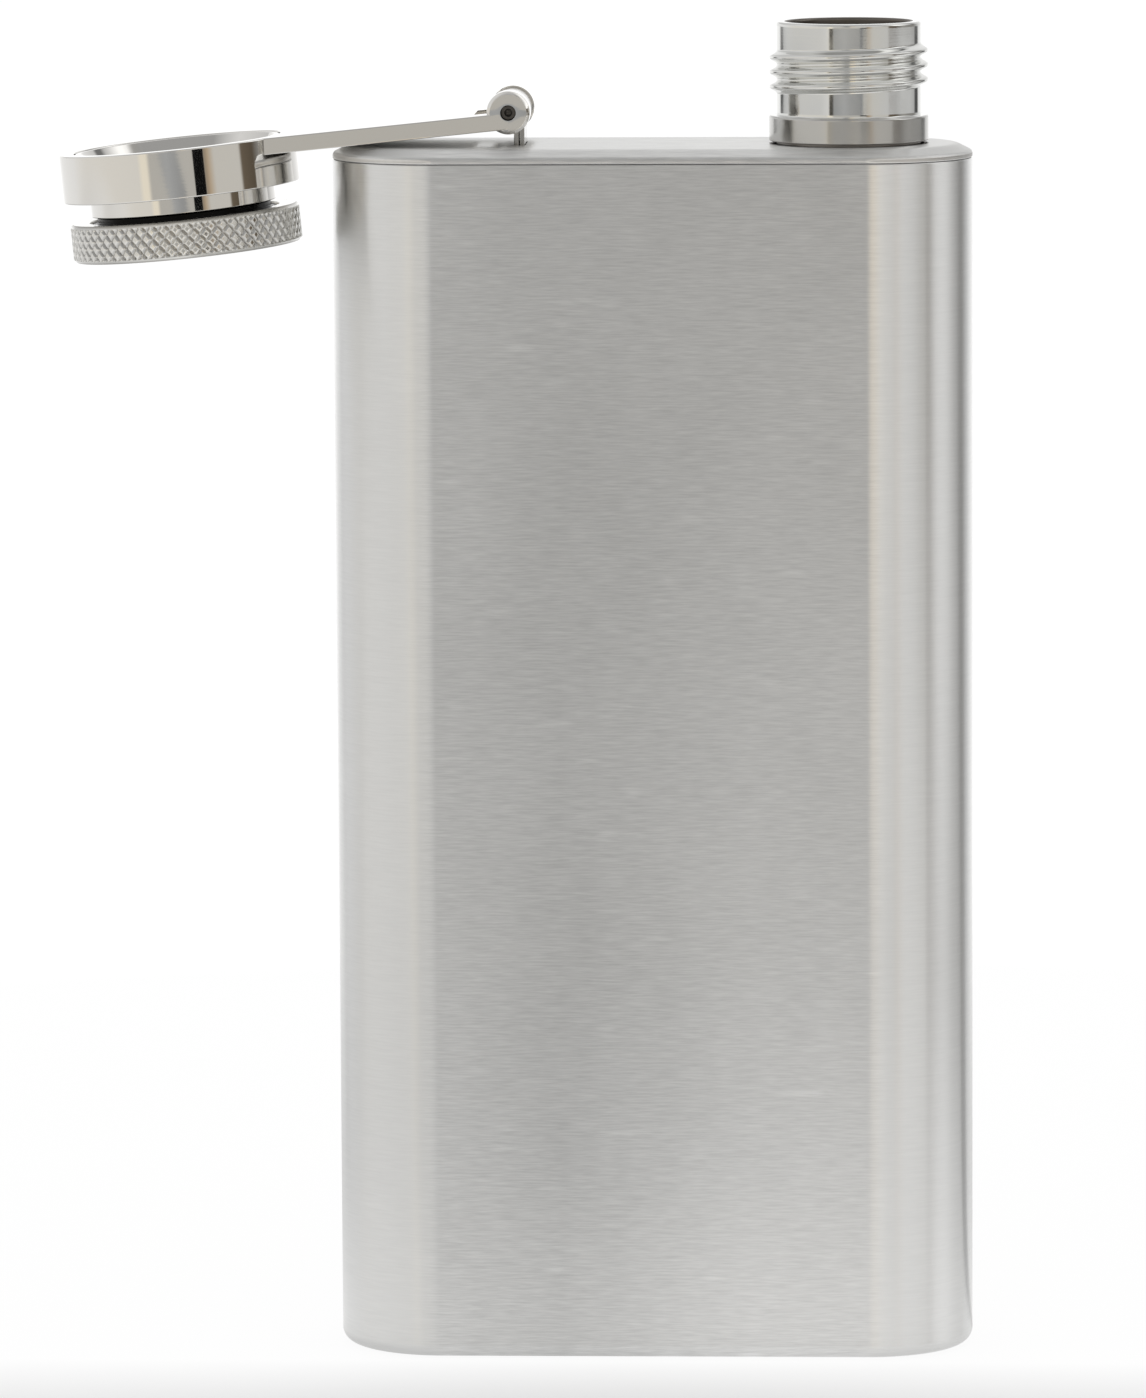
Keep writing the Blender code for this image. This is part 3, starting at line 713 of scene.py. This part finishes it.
UPRIGHT_BAND = (
    (-180, 1.2, WHITE), (-141, 1.0, WHITE), (-138, 0.10, WHITE), (-130, 0.10, WHITE), (-126, 0.50, WHITE),
    (-116, 0.62, WHITE), (-45, 0.66, WHITE), (-33, 0.76, WHITE), (-31, 0.76, WHITE), (-29.5, 0.02, WHITE),
    (-24.5, 0.02, WHITE), (-22.5, 0.34, COOL), (-10, 0.42, COOL), (-6, 0.44, COOL), (4, 0.36, COOL),
    (17, 0.30, COOL), (22, 0.36, COOL), (25, 0.66, WARM), (36, 0.66, WARM), (64, 0.64, WHITE),
    (80, 0.60, WHITE), (94, 0.66, WHITE), (116, 0.62, WHITE), (129, 0.50, WHITE), (133, 0.08, WHITE),
    (143, 0.08, WHITE), (147, 0.9, WHITE), (180, 1.2, WHITE))
LEANING_BAND = (
    (-180, 1.2, WHITE), (-150, 0.95, WHITE), (-120, 0.90, WHITE), (-95, 0.82, WARM), (-35, 0.78, WARM),
    (-31, 0.92, STRAW), (-26, 0.92, STRAW), (-23, 0.53, WARM), (14, 0.55, WARM), (28, 0.50, WARM),
    (30, 0.30, TAN), (34, 0.52, TAN), (40, 0.64, WARM), (66, 0.64, WARM), (69, 0.15, TAN), (82, 0.11, TAN),
    (90, 0.27, WARM), (98, 0.36, WARM), (110, 0.28, WARM), (128, 0.28, WARM), (136, 0.46, WHITE),
    (148, 0.8, WHITE), (180, 1.2, WHITE))
# The heights that the two bands fill, in degrees up; the wide wall fills the rest
LEANING_HEIGHTS, UPRIGHT_HEIGHTS = (-8.8, 10.0), (-4.5, -3.0)
# Two black uprights in front, as degrees round and up: one seen in the cap, one in the neck's top
STRIPES = (((19.2, 29.4), (-2.8, 0.6)), ((-29.5, -24.5), (-3.4, -2.0)))
BLACK, FRONT_GREY, ROOF_GREY = (0.006, 0.006, 0.006), (0.40, 0.40, 0.40), (0.62, 0.62, 0.62)
CLEAN_LIGHT = 1.02


def make_world():
    """A soft studio of paler and darker panels that the metal mirrors, and clean white light for the rest."""
    world = bpy.data.worlds.new("studio")
    bpy.context.scene.world = world
    world.use_nodes = True
    nodes = Nodes(world.node_tree)
    parts = nodes.add("ShaderNodeSeparateXYZ")
    nodes.link(nodes.add("ShaderNodeTexCoord").outputs["Generated"], parts.inputs[0])
    round_front = nodes.math("ARCTAN2", parts.outputs["X"], nodes.math("MULTIPLY", parts.outputs["Y"], -1.0))
    place = nodes.mapped(round_front, -math.pi, math.pi, 0.0, 1.0)
    height = nodes.math("MULTIPLY", nodes.math("ARCSINE", parts.outputs["Z"]), 180 / math.pi)

    def wall(stops):
        return nodes.ramp(place, [((degrees + 180) / 360, tuple(level * c for c in colour))
                                  for degrees, level, colour in stops], smooth=False)

    def between(low, high, soft):
        """1 between two heights in degrees, falling to 0 over soft beyond them."""
        rising = nodes.mapped(height, low - soft, low, 0.0, 1.0)
        return nodes.math("MULTIPLY", rising, nodes.mapped(height, high, high + soft, 1.0, 0.0))

    def mix(factor, first, second):
        node = nodes.add("ShaderNodeMix", data_type="RGBA")
        nodes.link(factor, node.inputs["Factor"])
        nodes.link(first, node.inputs["A"])
        if isinstance(second, tuple):
            node.inputs["B"].default_value = (*second, 1.0)
        else:
            nodes.link(second, node.inputs["B"])
        return node.outputs["Result"]

    facing = nodes.mapped(nodes.math("ABSOLUTE", round_front), 1.0, 1.6, 1.0, 0.0)
    upper_front = nodes.math("MULTIPLY", nodes.mapped(height, 18, 30, 0.0, 1.0), facing)
    light = mix(upper_front, wall(WIDE_WALL), FRONT_GREY)
    light = mix(nodes.mapped(height, 58, 78, 0.0, 0.7), light, ROOF_GREY)
    light = mix(between(*LEANING_HEIGHTS, 0.8), light, wall(LEANING_BAND))
    light = mix(between(*UPRIGHT_HEIGHTS, 0.2), light, wall(UPRIGHT_BAND))
    for sides, heights in STRIPES:
        middle, half = math.radians(sum(sides) / 2), math.radians((sides[1] - sides[0]) / 2)
        off = nodes.math("ABSOLUTE", nodes.math("SUBTRACT", round_front, middle))
        stripe = nodes.math("MULTIPLY", nodes.mapped(off, half - 0.004, half + 0.008, 1.0, 0.0),
                            between(*heights, 0.15))
        light = mix(stripe, light, BLACK)
    studio = world.node_tree.nodes["Background"]
    nodes.link(light, studio.inputs["Color"])
    clean = nodes.add("ShaderNodeBackground")
    clean.inputs["Strength"].default_value = CLEAN_LIGHT
    clean.inputs["Color"].default_value = (1, 1, 1, 1)
    nodes.choose_if_mirrored(clean.outputs[0], studio.outputs[0], world.node_tree.nodes["World Output"])


def make_camera():
    place = Vector((0.0376, -0.9861, 0.2005))
    yaw, pitch, roll = 0.04723, 0.12975, -0.0057
    level_right = Vector((math.cos(yaw), math.sin(yaw), 0))
    ahead = Vector((-math.sin(yaw) * math.cos(pitch), math.cos(yaw) * math.cos(pitch), -math.sin(pitch)))
    level_up = level_right.cross(ahead)
    right = math.cos(roll) * level_right + math.sin(roll) * level_up
    up = -math.sin(roll) * level_right + math.cos(roll) * level_up
    data = bpy.data.cameras.new("camera")
    data.lens = 232.5
    data.sensor_width = 36.0
    data.clip_start, data.clip_end = 0.05, 10.0
    camera = bpy.data.objects.new("camera", data)
    camera.matrix_world = Matrix.Translation(place) @ Matrix((right, up, -ahead)).transposed().to_4x4()
    bpy.context.scene.collection.objects.link(camera)
    bpy.context.scene.camera = camera


def main():
    steel = brushed_steel("brushed_steel_wall", (BRUSH_ALONG, BRUSH_ACROSS), (0, 0, 1))
    steel_top = brushed_steel("brushed_steel_ends", (BRUSH_ACROSS, BRUSH_ACROSS), (0, 1, 0))
    turned = bright_metal("turned_steel_look", TURNED, 0.08, 0.35, neck_shade_and_flange_tone)
    eye = bright_metal("dark_turned_steel_look", EYE, 0.12, 0.6)
    nickel = bright_metal("polished_nickel_look", NICKEL, 0.04)
    sleeve = bright_metal("polished_sleeve_look", NICKEL, 0.04, dark_place=sleeve_groove_shade, dark=SHADE)
    knurled = bright_metal("knurled_nickel_look", KNURLED, 0.12, dark_place=knurl_groove_shade)
    # painted shade: the pin is coloured near-black for its recess
    pin_shade = bright_metal("pin_shaded_steel_look", PIN_SHADE_DARK, 0.30, 0.5)
    make_body(steel, steel_top)
    make_neck(turned)
    make_hinge_post(eye)
    make_arm(nickel)
    make_pin(pin_shade)
    make_sleeve(sleeve)
    make_knob(knurled)
    make_gasket(gasket_rubber())
    for name in ("neck_ring", "hinge_backing"):
        node = frame["nodes"][name]
        node.data.materials.clear()
        node.data.materials.append(turned)
    make_floor()
    make_world()
    make_camera()
    bpy.context.scene.view_settings.view_transform = "Standard"


main()
